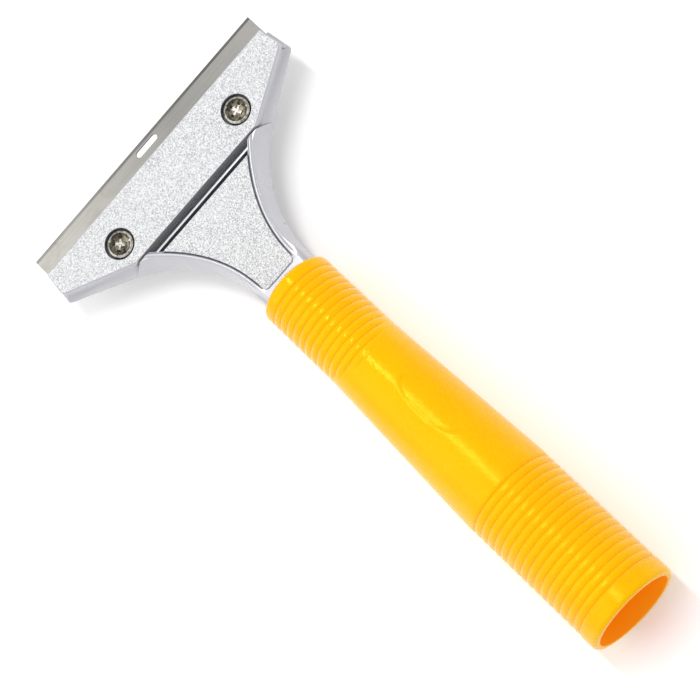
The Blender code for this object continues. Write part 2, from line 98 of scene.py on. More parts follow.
# Clamp plate
PLATE_FRONT, PLATE_SHOULDER, PLATE_REAR = 7.5, 16.0, 27.6
PLATE_FRONT_HALF, PLATE_SHOULDER_HALF, PLATE_REAR_HALF = 49.7, 50.8, 28.1
PLATE_BASE_Z, PLATE_TOP_Z = 2.0, 5.0
PLATE_FRONT_CORNER, PLATE_FRONT_CORNER_STEPS, PLATE_CORNER = 0.5, 4, 2.2
PLATE_BEVEL, PLATE_REAR_BEVEL, PLATE_SOFTENING = 0.35, 0.9, 0.09
BORE_RADIUS, BORE_DEPTH, BORE_CUT_TOP, HOLE_RADIUS = 5.0, 1.8, 9.0, 2.8
SCREW_X, SCREW_SETBACK = 27.05, 19.3

# Head casting
LIP_SETBACK = 7.9
SEAT_Z, PAD_Z, RIM_Z, BASE_Z, LIP_BASE_Z = 0.8, 1.7, 4.0, -4.5, -0.3
PAD_START, FAN_START, BASE_START = 16.3, 28.0, 30.0
BASE_CURVE = 1.15
END_FLARE, SLANT_FLARE, FAN_FLARE = 1.0, 2.6, 1.6
CORNER_BLEND = 5.0
TOP_ROUND, BASE_ROUND, NECK_TOP_ROUND, NECK_BASE_ROUND = 0.5, 2.0, 2.6, 3.4
WALL_LEAN = 0.6
TOP_STEPS, BASE_STEPS, WALL_SHARES = 6, 7, (0.2, 0.4, 0.6, 0.8, 1.0)
RIM_WIDTH = 2.0
BEAD_HEIGHT, BEAD_RISE, BEAD_FADE = 0.55, 0.1, (60.0, 66.0)
BEAD_INNER, BEAD_OUTER, BEAD_STEPS, BEAD_CROWDING = 0.1, 0.25, 8, 0.05
GROOVE_WIDTH, GROOVE_DIP, GROOVE_POWER, GROOVE_DEPTH = 0.5, 0.5, 4, 0.4
SEAT_STEP, SHOULDER_STEP, PAD_STEP, FAN_STEP, NECK_STEP, RISER = 0.9, 0.3, 0.6, 0.55, 0.4, 0.05
PANEL_NECK, PANEL_NECK_HALF, PANEL_SPREAD, PANEL_RUN, PANEL_POWER = 65.8, 6.4, 16.6, 38.0, 2.2
PANEL_TOP_Z, PANEL_BEVEL, PANEL_SINK = 4.6, 0.22, 1.0
PANEL_CORNER, PANEL_CORNER_SHARE, PANEL_CORNER_STEPS, PANEL_STEP = 1.6, 0.9, 6, 0.8
CHANNEL_REAR, CHANNEL_FLOOR_Z, CHANNEL_STEP = 31.9, 0.4, 0.5
RIDGE_FRONT, RIDGE_REAR, RIDGE_TOP_Z = 29.8, 30.4, 3.8
POCKET_FRONT, POCKET_REAR, POCKET_STEP = 34.0, 58.0, 1.0
POCKET_WEB_HALF, POCKET_WALL, POCKET_DEPTH = 2.5, 2.6, 2.0
NECK_BLEND, NECK_START, NECK_END, NECK_HALF = 52.0, 62.0, 67.5, 9.8
TANG_START, TANG_END, TANG_RADIUS, TANG_CHAMFER = 68.6, 109.0, 8.6, 1.0

# Blade
BLADE_HALF, BLADE_DEPTH, BLADE_BASE_Z, BLADE_THICKNESS, BLADE_GRIND = 50.0, 16.0, 1.1, 0.6, 1.1
BLADE_LAND_HALF, BLADE_SOFTENING, BLADE_SLIVER, BLADE_STEP = 0.03, 0.03, 0.004, 4
SLOT_LENGTH, SLOT_WIDTH, SLOT_SETBACK, SLOT_STEPS, SLOT_CUT_TOP = 9.1, 2.1, 2.8, 16, 3.0

# Clamp screws. The recess's ends are (reach, half width), and the ring, where the rim's painted
# highlight lies, is its two radii.
HEAD_RADIUS, HEAD_HEIGHT, CENTRE_RADIUS = 4.55, 1.7, 0.05
DOME_FLAT, DOME_SAG, DOME_DROP, DOME_POWER, DOME_STEPS = 1.2, 0.02, 1.2, 0.9, 12
HEAD_EDGE_HEIGHT, HEAD_EDGE_ROUND = 0.15, 0.12
SHANK_RADIUS, THREAD_PITCH, THREAD_DEPTH, TIP_Z = 2.5, 0.8, 0.42, -2.0
THREAD_CLEARANCE, THREAD_FADE, THREAD_STEP = 0.2, 0.4, 0.08
RECESS_ABOVE, RECESS_DEPTH = 0.6, 0.9
RECESS_TOP, RECESS_FLOOR = (3.3, 0.74), (1.7, 0.46)
RECESS_FLOOR_DEPTH, HIGHLIGHT_DEPTH = 0.7, 1.3
RIM_RING = (3.55, 4.25)
RECESS_TURNS = {"left": math.radians(38), "right": math.radians(17)}

# Stage and camera, in metres
FLOOR_HALF, FLOOR_DROP = 3, 0.1 * MM
WORLD_STRENGTH = 0.76
KEY_PLACE, KEY_TARGET, KEY_SIZE, KEY_WATTS = (-0.60, 0.36, 0.80), (0, 0, 0), 1.1, 2.8
GLINT_PLACE, GLINT_TARGET = (0.095, 0.26, 0.86), (0, -0.05, 0)
GLINT_SIZE, GLINT_WATTS = (0.06, 0.62), 3.0
CAMERA_PLACE = (0.080, -0.2711, 0.7282)
CAMERA_RIGHT, CAMERA_UP = (0.65856, -0.67429, -0.334115), (0.745194, 0.646177, 0.164745)
CAMERA_LENS, CAMERA_SENSOR, CAMERA_CLIP = 137.0, 36, (0.01, 20)


# ---------------------------------------------------------------- small helpers


def lerp(a, b, t):
    return a + (b - a) * t


def ramp(value, start, end):
    """0 before start, 1 after end, and a smooth step between."""
    t = min(max((value - start) / (end - start), 0), 1)
    return t * t * (3 - 2 * t)


def place(x, setback, z):
    """A point in metres from millimetres across, behind the edge, and up."""
    return Vector((x * MM, EDGE_Y - setback * MM, z * MM))


def smooth_max(a, b, blend):
    return (a + b + math.hypot(a - b, blend)) / 2


def spread(start, end, step):
    """Evenly spaced numbers from start to end, no further apart than the step."""
    count = max(1, math.ceil((end - start) / step - 1e-6))
    return [lerp(start, end, i / count) for i in range(count + 1)]


def add_mesh(name, mesh, materials):
    item = bpy.data.objects.new(name, mesh)
    bpy.context.scene.collection.objects.link(item)
    for material in materials:
        mesh.materials.append(material)
    return item


def finished_mesh(name, bm):
    bmesh.ops.recalc_face_normals(bm, faces=bm.faces)
    mesh = bpy.data.meshes.new(name)
    bm.to_mesh(mesh)
    bm.free()
    return mesh


def shade(item, angle):
    """Smooth shading, with edges sharper than an angle in degrees kept hard."""
    item.data.shade_smooth()
    item.data.set_sharp_from_angle(angle=math.radians(angle))


def grid_mesh(name, rows, closed):
    """A skin over rings of points. Its ends are capped unless the rings close on each other."""
    bm = bmesh.new()
    rings = [[bm.verts.new(point) for point in row] for row in rows]
    count = len(rings[0])
    pairs = list(zip(rings, rings[1:]))
    if closed:
        pairs.append((rings[-1], rings[0]))
    for first, second in pairs:
        for i in range(count):
            j = (i + 1) % count
            bm.faces.new((first[i], first[j], second[j], second[i]))
    if not closed:
        bm.faces.new(rings[0])
        bm.faces.new(rings[-1])
    return finished_mesh(name, bm)


def slab_mesh(name, outline, low, high, bevel=0.0):
    """An outline of (x, setback) points as a solid between two heights, its top edge rounded."""
    bm = bmesh.new()
    base = [bm.verts.new(place(x, setback, low)) for x, setback in outline]
    face = bm.faces.new(base)
    raised = bmesh.ops.extrude_face_region(bm, geom=[face])["geom"]
    top = [item for item in raised if isinstance(item, bmesh.types.BMVert)]
    for vert in top:
        vert.co.z = high * MM
    if bevel:
        edges = [e for e in bm.edges if e.verts[0] in top and e.verts[1] in top]
        bmesh.ops.bevel(
            bm, geom=edges, offset=bevel * MM, segments=BEVEL_SEGMENTS, profile=0.5, affect="EDGES",
        )
    return finished_mesh(name, bm)


def cylinder_mesh(name, radius, x, setback, low, high):
    bm = bmesh.new()
    bmesh.ops.create_cone(
        bm, cap_ends=True, segments=ROUND_SEGMENTS, radius1=radius * MM, radius2=radius * MM,
        depth=(high - low) * MM, matrix=Matrix.Translation(place(x, setback, (low + high) / 2)),
    )
    return finished_mesh(name, bm)


def combine(item, operations):
    """Run Booleans on an object and keep only their result. Each operation is (kind, mesh)."""
    tools = []
    for kind, mesh in operations:
        tool = bpy.data.objects.new(mesh.name, mesh)
        bpy.context.scene.collection.objects.link(tool)
        tools.append(tool)
        modifier = item.modifiers.new(mesh.name, "BOOLEAN")
        modifier.operation = kind
        modifier.object = tool
        modifier.solver = "EXACT"
    bake_modifiers(item)
    for tool in tools:
        bpy.data.objects.remove(tool)


def bake_modifiers(item):
    bpy.context.view_layer.update()
    evaluated = item.evaluated_get(bpy.context.evaluated_depsgraph_get())
    mesh = bpy.data.meshes.new_from_object(evaluated)
    item.modifiers.clear()
    item.data = mesh


def weigh_normals(item):
    """Keep large flat faces flat where small bevels meet them."""
    weigh = item.modifiers.new("weighted_normals", "WEIGHTED_NORMAL")
    weigh.keep_sharp = True
    weigh.weight = 100
    bake_modifiers(item)


def soften_edges(item, width, angle=28, segments=2):
    """Round every sharp edge a little, as a real moulded or ground edge is."""
    bevel = item.modifiers.new("soft_edges", "BEVEL")
    bevel.width = width * MM
    bevel.segments = segments
    bevel.limit_method = "ANGLE"
    bevel.angle_limit = math.radians(angle)
    bake_modifiers(item)


def merge_slivers(item, distance):
    """Join points that a fine bevel leaves closer than a distance, so no face is a sliver."""
    bm = bmesh.new()
    bm.from_mesh(item.data)
    bmesh.ops.remove_doubles(bm, verts=bm.verts, dist=distance * MM)
    bmesh.ops.dissolve_degenerate(bm, dist=distance * MM, edges=bm.edges)
    bm.to_mesh(item.data)
    bm.free()


def paint_faces(item, index, chosen):
    """Give the faces that pass a test another of the object's materials."""
    for polygon in item.data.polygons:
        if chosen(polygon):
            polygon.material_index = index


def arc(before, corner, after, radius, steps=8):
    """Points that round a corner, from the side of before to the side of after."""
    corner = Vector(corner)
    back = (Vector(before) - corner).normalized()
    ahead = (Vector(after) - corner).normalized()
    half = back.angle(ahead) / 2
    centre = corner + (back + ahead).normalized() * (radius / math.sin(half))
    start = corner + back * (radius / math.tan(half)) - centre
    finish = corner + ahead * (radius / math.tan(half)) - centre
    rays = [start.lerp(finish, step / steps).normalized() for step in range(steps + 1)]
    return [tuple(centre + ray * radius) for ray in rays]


def mirrored(half):
    return half + [(-x, setback) for x, setback in reversed(half)]


# ---------------------------------------------------------------- materials


class Paint:
    """A material's node tree, with short calls for the nodes used here."""

    def __init__(self, name, colour, roughness, metallic):
        self.material = bpy.data.materials.new(name)
        self.material.use_nodes = True
        self.tree = self.material.node_tree
        self.shader = self.tree.nodes["Principled BSDF"]
        self.shader.inputs["Base Color"].default_value = (*colour, 1)
        self.shader.inputs["Roughness"].default_value = roughness
        self.shader.inputs["Metallic"].default_value = metallic
        self.object_space = self.tree.nodes.new("ShaderNodeTexCoord").outputs["Object"]

    def link(self, source, target):
        self.tree.links.new(source, target)

    def stretched(self, scale):
        node = self.tree.nodes.new("ShaderNodeMapping")
        node.inputs["Scale"].default_value = scale
        self.link(self.object_space, node.inputs["Vector"])
        return node.outputs["Vector"]

    def noise(self, scale, detail, roughness, vector=None, distortion=0.0):
        """Noise whose scale is its number of lumps in a metre."""
        node = self.tree.nodes.new("ShaderNodeTexNoise")
        node.inputs["Scale"].default_value = scale
        node.inputs["Detail"].default_value = detail
        node.inputs["Roughness"].default_value = roughness
        node.inputs["Distortion"].default_value = distortion
        self.link(vector or self.object_space, node.inputs["Vector"])
        return node.outputs["Fac"]

    def along(self, axis, low, high):
        """0 at one place along an axis of the object and 1 at another."""
        split = self.tree.nodes.new("ShaderNodeSeparateXYZ")
        self.link(self.object_space, split.inputs["Vector"])
        return self.span(split.outputs[axis], low, high, 0, 1)

    def span(self, value, low, high, start, end):
        """A value's stretch from low to high, mapped to start to end and held at its ends."""
        node = self.tree.nodes.new("ShaderNodeMapRange")
        sockets = ("From Min", "From Max", "To Min", "To Max")
        for socket, number in zip(sockets, (low, high, start, end)):
            node.inputs[socket].default_value = number
        self.link(value, node.inputs["Value"])
        return node.outputs["Result"]

    def maths(self, operation, a, b):
        node = self.tree.nodes.new("ShaderNodeMath")
        node.operation = operation
        self.link(a, node.inputs[0])
        self.link(b, node.inputs[1])
        return node.outputs["Value"]

    def edges(self, low, high):
        """0 to 1 by how pointed the surface is: 0.5 where flat, more on edges, less in grooves."""
        node = self.tree.nodes.new("ShaderNodeNewGeometry")
        return self.span(node.outputs["Pointiness"], low, high, 0, 1)

    def mix(self, factor, a, b):
        """From a to b as the factor goes from 0 to 1. Each is a colour or another output."""
        node = self.tree.nodes.new("ShaderNodeMix")
        node.data_type = "RGBA"
        self.link(factor, node.inputs["Factor"])
        sockets = [s for s in node.inputs if s.type == "RGBA"]
        for socket, value in zip(sockets, (a, b)):
            if isinstance(value, tuple):
                socket.default_value = (*value, 1)
            else:
                self.link(value, socket)
        return [s for s in node.outputs if s.type == "RGBA"][0]

    def bump(self, height, distance, strength, under=None):
        """A bump whose full height is a distance in millimetres, over another one if given."""
        node = self.tree.nodes.new("ShaderNodeBump")
        node.inputs["Distance"].default_value = distance * MM
        node.inputs["Strength"].default_value = strength
        self.link(height, node.inputs["Height"])
        if under:
            self.link(under, node.inputs["Normal"])
        return node.outputs["Normal"]

    def colour(self, source):
        self.link(source, self.shader.inputs["Base Color"])

    def gloss(self, source):
        self.link(source, self.shader.inputs["Roughness"])

    def normal(self, source):
        self.link(source, self.shader.inputs["Normal"])


def pebbled_silver():
    """Silver paint over a pebbled die-cast face, grains about 0.5 mm across."""
    dark, pale, haze = (0.36, 0.365, 0.375), (0.83, 0.835, 0.84), (0.78, 0.79, 0.81)
    paint = Paint("pebbled_silver", (0.66, 0.665, 0.67), 0.50, 0.2)
    grain = paint.noise(1700, 2, 0.55)
    fine = paint.noise(4200, 3, 0.6)
    speckle = paint.noise(2700, 2, 0.6)
    broad = paint.noise(70, 3, 0.5)
    base = paint.mix(paint.span(speckle, 0.36, 0.58, 0, 1), dark, pale)
    base = paint.mix(paint.span(broad, 0.4, 0.7, 0, 0.25), base, haze)
    paint.colour(base)
    paint.gloss(paint.span(fine, 0.3, 0.7, 0.38, 0.60))
    first = paint.bump(grain, 0.50, 1.0)
    paint.normal(paint.bump(fine, 0.05, 0.6, first))
    return paint.material


def smooth_silver():
    """Silver paint over smooth cast faces, with a little orange peel, and edges lightened towards
    bare metal, partly as worn paint and partly as a painted edge highlight.
    """
    dark, pale, haze = (0.50, 0.50, 0.535), (0.56, 0.56, 0.59), (0.48, 0.48, 0.515)
    bare_metal_and_highlight = (0.90, 0.90, 0.91)
    paint = Paint("smooth_silver", (0.55, 0.55, 0.58), 0.30, 0.45)
    peel = paint.noise(900, 2, 0.5)
    flake = paint.noise(4500, 1, 0.5)
    broad = paint.noise(90, 3, 0.55)
    base = paint.mix(paint.span(flake, 0.35, 0.65, 0, 1), dark, pale)
    base = paint.mix(paint.span(broad, 0.45, 0.75, 0, 0.3), base, haze)
    patchy = paint.span(broad, 0.4, 0.6, 0.1, 0.35)
    # Edges lightened in patches: partly worn paint, partly a painted highlight along the edges.
    wear_and_highlight = paint.maths("MULTIPLY", paint.edges(0.54, 0.64), patchy)
    paint.colour(paint.mix(wear_and_highlight, base, bare_metal_and_highlight))
    paint.gloss(paint.span(broad, 0.3, 0.7, 0.24, 0.38))
    paint.normal(paint.bump(peel, 0.02, 0.5))
    return paint.material


def shaded_cast():
    """Painted shade: dark cast metal for recesses and narrow grooves, standing in for the shade
    that falls deep in them.
    """
    # Both colours are painted shade, a darker and a paler one, for the depths of recesses.
    painted_shade_deep, cast = (0.13, 0.135, 0.14), (0.27, 0.275, 0.285)
    paint = Paint("painted_recess_shade", (0.20, 0.205, 0.21), 0.55, 0.3)
    broad = paint.noise(420, 3, 0.6)
    fine = paint.noise(2600, 2, 0.5)
    paint.colour(paint.mix(paint.span(broad, 0.35, 0.7, 0, 1), painted_shade_deep, cast))
    paint.gloss(paint.span(fine, 0.3, 0.7, 0.42, 0.65))
    paint.normal(paint.bump(fine, 0.03, 0.6))
    return paint.material


def blade_steel():
    """Satin ground steel: fine lines along the strip, a few darker stains, a duller right half."""
    dull_low, dull_high = (0.125, 0.122, 0.115), (0.225, 0.22, 0.208)
    bright_low, bright_high = (0.35, 0.345, 0.315), (0.48, 0.47, 0.43)
    bright_end, dull_start, stain = -0.052, 0.012, (0.20, 0.19, 0.165)
    lines_each_way = (45, 5200, 5200)
    paint = Paint("blade_steel", (0.36, 0.35, 0.325), 0.36, 0.85)
    lines = paint.noise(1, 4, 0.7, paint.stretched(lines_each_way))
    stains = paint.noise(160, 4, 0.6, distortion=0.6)
    dull = paint.mix(paint.span(lines, 0.3, 0.7, 0, 1), dull_low, dull_high)
    bright = paint.mix(paint.span(lines, 0.3, 0.7, 0, 1), bright_low, bright_high)
    base = paint.mix(paint.along("X", bright_end, dull_start), bright, dull)
    base = paint.mix(paint.span(stains, 0.48, 0.74, 0, 0.45), base, stain)
    paint.colour(base)
    paint.gloss(paint.span(lines, 0.3, 0.7, 0.30, 0.48))
    paint.normal(paint.bump(lines, 0.010, 0.8))
    return paint.material


def screw_nickel():
    """Dark nickel plate, rubbed through to a brassy colour in patches and on edges."""
    tarnish, brass, rubbed = (0.03, 0.03, 0.025), (0.17, 0.145, 0.105), (0.70, 0.67, 0.60)
    paint = Paint("screw_nickel", (0.22, 0.21, 0.18), 0.28, 1.0)
    patches = paint.noise(1100, 4, 0.65)
    fine = paint.noise(5200, 2, 0.5)
    base = paint.mix(paint.span(patches, 0.42, 0.64, 0, 1), tarnish, brass)
    paint.colour(paint.mix(paint.edges(0.53, 0.62), base, rubbed))
    paint.gloss(paint.span(patches, 0.3, 0.7, 0.2, 0.42))
    paint.normal(paint.bump(fine, 0.015, 0.7))
    return paint.material


def painted_highlight_nickel():
    """Nickel painted bright on the head's rim and in its recess: a painted highlight where light
    catches them.
    """
    brass, nickel = (0.20, 0.17, 0.12), (0.64, 0.63, 0.60)
    paint = Paint("painted_highlight_nickel", (0.80, 0.79, 0.76), 0.30, 0.7)
    patches = paint.noise(1400, 3, 0.6)
    paint.colour(paint.mix(paint.span(patches, 0.36, 0.6, 0, 1), brass, nickel))
    paint.gloss(paint.span(patches, 0.3, 0.7, 0.22, 0.42))
    paint.normal(paint.bump(patches, 0.01, 0.5))
    return paint.material


def yellow_plastic():
    """Glossy moulded plastic: painted shade in the grooves, a fine mottle, slight waviness."""
    warm, deep, groove = (0.95, 0.485, 0.001), (0.95, 0.455, 0.001), (0.90, 0.33, 0.001)
    glossy_end, dull_start = 0.006, -0.019
    paint = Paint("yellow_plastic", (1.0, 0.54, 0.001), 0.26, 0.0)
    broad = paint.noise(45, 2, 0.5)
    scuffs = paint.noise(700, 4, 0.65)
    waves = paint.noise(850, 3, 0.55)
    fine = paint.noise(3800, 2, 0.5)
    base = paint.mix(paint.span(broad, 0.35, 0.7, 0, 1), warm, deep)
    # Painted shade: concave faces between the ribs get a darker orange.
    paint.colour(paint.mix(paint.edges(0.496, 0.462), base, groove))
    scuffed = paint.span(scuffs, 0.35, 0.7, 0.11, 0.20)
    duller = paint.span(paint.along("Y", glossy_end, dull_start), 0, 1, 0, 0.11)
    paint.gloss(paint.maths("ADD", scuffed, duller))
    first = paint.bump(waves, 0.10, 0.9)
    paint.normal(paint.bump(fine, 0.010, 0.4, first))
    paint.shader.inputs["Specular IOR Level"].default_value = 0.50
    paint.shader.inputs["Specular Tint"].default_value = (1.0, 0.88, 0.08, 1)
    paint.shader.inputs["Subsurface Weight"].default_value = 0.15
    paint.shader.inputs["Subsurface Radius"].default_value = (0.005, 0.0016, 0.0002)
    paint.shader.inputs["Subsurface Scale"].default_value = 1.0
    return paint.material


def inner_plastic():
    """The same plastic inside the bore, duller, with a low glow for light through the wall."""
    warm, deep = (0.92, 0.36, 0.001), (0.92, 0.32, 0.001)
    paint = Paint("inner_plastic", (1.0, 0.42, 0.001), 0.5, 0.0)
    broad = paint.noise(60, 2, 0.5)
    fine = paint.noise(1800, 2, 0.5)
    paint.colour(paint.mix(paint.span(broad, 0.35, 0.7, 0, 1), warm, deep))
    paint.gloss(paint.span(fine, 0.3, 0.7, 0.42, 0.58))
    paint.normal(paint.bump(fine, 0.02, 0.4))
    paint.shader.inputs["Specular IOR Level"].default_value = 0.2
    paint.shader.inputs["Emission Color"].default_value = (1.0, 0.30, 0.001, 1)
    paint.shader.inputs["Emission Strength"].default_value = 0.13
    return paint.material


# ---------------------------------------------------------------- handle


def taper_radius(setback):
    t = min(max((setback - TAPER_START) / (TAPER_END - TAPER_START), 0), 1)
    return lerp(FRONT_RADIUS, REAR_RADIUS, t)


def rib_dip(setback):
    """How deep the grooves between the ribs are at a setback, from 0 to 1."""
    for start, count in RIB_RUNS:
        turn = (setback - start) / RIB_PITCH
        if 0 <= turn <= count:
            return 1 - abs(math.sin(math.pi * turn)) ** RIB_POWER
        outside = max(-turn, turn - count)
        if outside < RIB_FADE:
            return 1 - math.sin(math.pi / 2 * outside / RIB_FADE) ** RIB_POWER
    return 0.0


def rib_reach(setback, angle):
    """1 where the ribs are full, fading to 0 past the curved end of the front run."""
    if setback > RIB_RUNS[1][0] - RIB_PITCH:
        return 1.0
    top_share = abs(math.cos(angle)) ** FRONT_RIBS_CURVE
    end = lerp(FRONT_RIBS_SIDE_END, FRONT_RIBS_TOP_END, top_share)
    return 1 - ramp(setback, end - FRONT_RIBS_FADE_BEFORE, end + FRONT_RIBS_FADE_AFTER)


def inset_dip(setback, angle, radius):
    """How deep the oval thumb inset is at a point of the handle, from 0 to 1."""
    along = (setback - INSET_SETBACK) / INSET_HALF_LENGTH
    around = math.remainder(angle - INSET_ANGLE, math.tau) * radius / INSET_HALF_WIDTH
    return 1 - ramp(math.hypot(along, around), *INSET_EDGE)


def outer_setbacks():
    """Setbacks of the outside's rings, closest together along the ribs and their faded ends."""
    fade = RIB_FADE * RIB_PITCH
    marks = spread(HANDLE_FRONT + FRONT_ROUND, RIB_RUNS[0][0] - fade, PLAIN_STEP)
    for index, (start, count) in enumerate(RIB_RUNS):
        end = start + count * RIB_PITCH
        before, after = start - fade, end + fade
        marks += spread(before, start, FADE_STEP)[1:]
        marks += spread(start, end, RIB_PITCH / RIB_STEPS)[1:]
        marks += spread(end, after, FADE_STEP)[1:]
        if index == 0:
            marks += spread(after, RIB_RUNS[1][0] - fade, INSET_STEP)[1:]
    return marks


def handle_profile():
    """(radius, setback, rib depth) round the tube's wall, from its front face to its bore."""
    points = []
    for step in range(ROUND_STEPS + 1):
        turn = math.radians(90 * step / ROUND_STEPS)
        radius = FRONT_RADIUS - FRONT_ROUND * (1 - math.sin(turn))
        points.append((radius, HANDLE_FRONT + FRONT_ROUND * (1 - math.cos(turn)), None))
    for setback in outer_setbacks()[1:]:
        points.append((taper_radius(setback), setback, RIB_DEPTH * rib_dip(setback)))
    points.append((REAR_RADIUS, LIP_START - LIP_RISE_LENGTH, None))
    points.append((LIP_RADIUS, LIP_START, None))
    for setback in spread(LIP_START, HANDLE_END - LIP_ROUND, LIP_STEP)[1:]:
        points.append((LIP_RADIUS, setback, None))
    for step in range(1, ROUND_STEPS + 1):
        turn = math.radians(90 * step / ROUND_STEPS)
        radius = LIP_RADIUS - LIP_ROUND * (1 - math.cos(turn))
        points.append((radius, HANDLE_END - LIP_ROUND * (1 - math.sin(turn)), None))
    points.append((BORE_REAR_RADIUS + BORE_ROUND, HANDLE_END, None))
    for step in range(1, BORE_ROUND_STEPS + 1):
        turn = math.radians(90 * step / BORE_ROUND_STEPS)
        radius = BORE_REAR_RADIUS + BORE_ROUND * (1 - math.sin(turn))
        points.append((radius, HANDLE_END - BORE_ROUND * (1 - math.cos(turn)), None))
    for setback in spread(BORE_START, HANDLE_END - BORE_ROUND, BORE_STEP)[::-1][1:]:
        t = (setback - BORE_START) / (HANDLE_END - BORE_START)
        points.append((lerp(BORE_FRONT_RADIUS, BORE_REAR_RADIUS, t), setback, None))
    points.append((SOCKET_RADIUS, SOCKET_END, None))
    for setback in spread(HANDLE_FRONT, SOCKET_END, BORE_STEP)[::-1][1:]:
        points.append((SOCKET_RADIUS, setback, None))
    return points


def in_handle_bore(polygon):
    """True for the faces of the bore, which look towards the handle's axis."""
    outwards = Vector((polygon.center.x, 0, polygon.center.z))
    return outwards.length > 0 and polygon.normal.dot(outwards.normalized()) < -0.5


def build_handle(material, inner):
    rows = []
    for radius, setback, ribs in handle_profile():
        row = []
        for i in range(HANDLE_SEGMENTS):
            angle = math.tau * i / HANDLE_SEGMENTS
            reach = radius
            if ribs is not None:
                reach -= ribs * rib_reach(setback, angle)
                reach -= INSET_DEPTH * inset_dip(setback, angle, radius)
            row.append(place(reach * math.sin(angle), setback, reach * math.cos(angle)))
        rows.append(row)
    mesh = grid_mesh("ribbed_handle", rows, closed=True)
    handle = add_mesh("ribbed_handle", mesh, [material, inner])
    paint_faces(handle, 1, in_handle_bore)
    shade(handle, 40)
    return handle


# ---------------------------------------------------------------- head casting


def slant_half(setback):
    t = (setback - PLATE_SHOULDER) / (PLATE_REAR - PLATE_SHOULDER)
    return lerp(PLATE_SHOULDER_HALF, PLATE_REAR_HALF, t)


def end_half(setback):
    t = (setback - PLATE_FRONT) / (PLATE_SHOULDER - PLATE_FRONT)
    return lerp(PLATE_FRONT_HALF, PLATE_SHOULDER_HALF, t)


def panel_half(setback):
    """Half the width of the fan panel, which narrows in a curve to the neck."""
    t = max(PANEL_NECK - setback, 0) / PANEL_RUN
    return PANEL_NECK_HALF + PANEL_SPREAD * t**PANEL_POWER


def fan_half(setback, offset):
    """Half the width of the panel's outline moved outwards by an offset."""
    t = max(PANEL_NECK - setback, 0) / PANEL_RUN
    slope = PANEL_SPREAD * PANEL_POWER / PANEL_RUN * t ** (PANEL_POWER - 1)
    return panel_half(setback) + offset * math.hypot(1, slope)


def casting_top_half(setback):
    if setback <= PLATE_SHOULDER:
        return end_half(setback)
    fan = fan_half(setback, RIM_WIDTH)
    neck = lerp(fan, NECK_HALF, ramp(setback, NECK_BLEND, NECK_END))
    return max(slant_half(setback), fan, neck)


def casting_base_half(setback):
    slant = slant_half(setback) + SLANT_FLARE
    fan = max(fan_half(setback, RIM_WIDTH + FAN_FLARE), NECK_HALF)
    behind = smooth_max(slant, fan, CORNER_BLEND)
    return min(end_half(min(setback, PLATE_SHOULDER)) + END_FLARE, behind)


def casting_top_z(setback):
    if setback <= PAD_START:
        return SEAT_Z
    return PAD_Z if setback <= FAN_START else RIM_Z


def casting_base_z(setback):
    t = min((setback - LIP_SETBACK) / (BASE_START - LIP_SETBACK), 1)
    return lerp(LIP_BASE_Z, BASE_Z, t**BASE_CURVE)


def casting_section(setback):
    """The casting's cross-section at a setback, as a ring of (x, z)."""
    top_half, base_half = casting_top_half(setback), casting_base_half(setback)
    top, base = casting_top_z(setback), casting_base_z(setback)
    height = top - base
    neck = ramp(setback, NECK_START, NECK_END)
    top_round = lerp(min(TOP_ROUND, height / 3), NECK_TOP_ROUND, neck)
    base_round = lerp(min(BASE_ROUND, height / 3), NECK_BASE_ROUND, neck)
    half = [(0, top)]
    bead = BEAD_HEIGHT * ramp(setback, FAN_START, FAN_START + BEAD_RISE)
    bead *= 1 - ramp(setback, *BEAD_FADE)
    for step in range(BEAD_STEPS + 1):
        share = step / BEAD_STEPS
        across = fan_half(setback, lerp(BEAD_INNER, RIM_WIDTH - BEAD_OUTER, share))
        crowding = BEAD_CROWDING * (BEAD_STEPS - step) / BEAD_STEPS
        across = min(across, top_half - top_round - crowding)
        dip = GROOVE_DIP * (1 - share) ** GROOVE_POWER
        half.append((across, top + bead * (math.sin(math.pi * share) - dip)))
    for step in range(TOP_STEPS + 1):
        turn = math.radians(90 * step / TOP_STEPS)
        across = top_half - top_round * (1 - math.sin(turn))
        half.append((across, top - top_round * (1 - math.cos(turn))))
    high, low = top - top_round, base + base_round
    for share in WALL_SHARES:
        lean = share * (2 * WALL_LEAN + (1 - 2 * WALL_LEAN) * share)
        half.append((lerp(top_half, base_half, lean), lerp(high, low, share)))
    for step in range(1, BASE_STEPS + 1):
        turn = math.radians(90 * step / BASE_STEPS)
        across = base_half - base_round * (1 - math.cos(turn))
        half.append((across, low - base_round * math.sin(turn)))
    half.append((0, base))
    return half + [(-x, z) for x, z in reversed(half[1:-1])]


def casting_mesh():
    marks = spread(LIP_SETBACK, PLATE_SHOULDER, SEAT_STEP)
    marks += spread(PLATE_SHOULDER, PAD_START, SHOULDER_STEP)[1:]
    marks += spread(PAD_START + RISER, FAN_START, PAD_STEP)
    marks += spread(FAN_START + RISER, NECK_START, FAN_STEP)
    marks += spread(NECK_START, HANDLE_FRONT - GAP, NECK_STEP)[1:]
    rows = [[place(x, setback, z) for x, z in casting_section(setback)] for setback in marks]
    return grid_mesh("head_body", rows, closed=False)


def tang_mesh():
    rows = []
    profile = [(TANG_RADIUS, TANG_START), (TANG_RADIUS, TANG_END - TANG_CHAMFER)]
    profile += [(TANG_RADIUS - TANG_CHAMFER, TANG_END)]
    for radius, setback in profile:
        turns = [math.tau * i / ROUND_SEGMENTS for i in range(ROUND_SEGMENTS)]
        rows.append([place(radius * math.sin(t), setback, radius * math.cos(t)) for t in turns])
    return grid_mesh("tang", rows, closed=False)


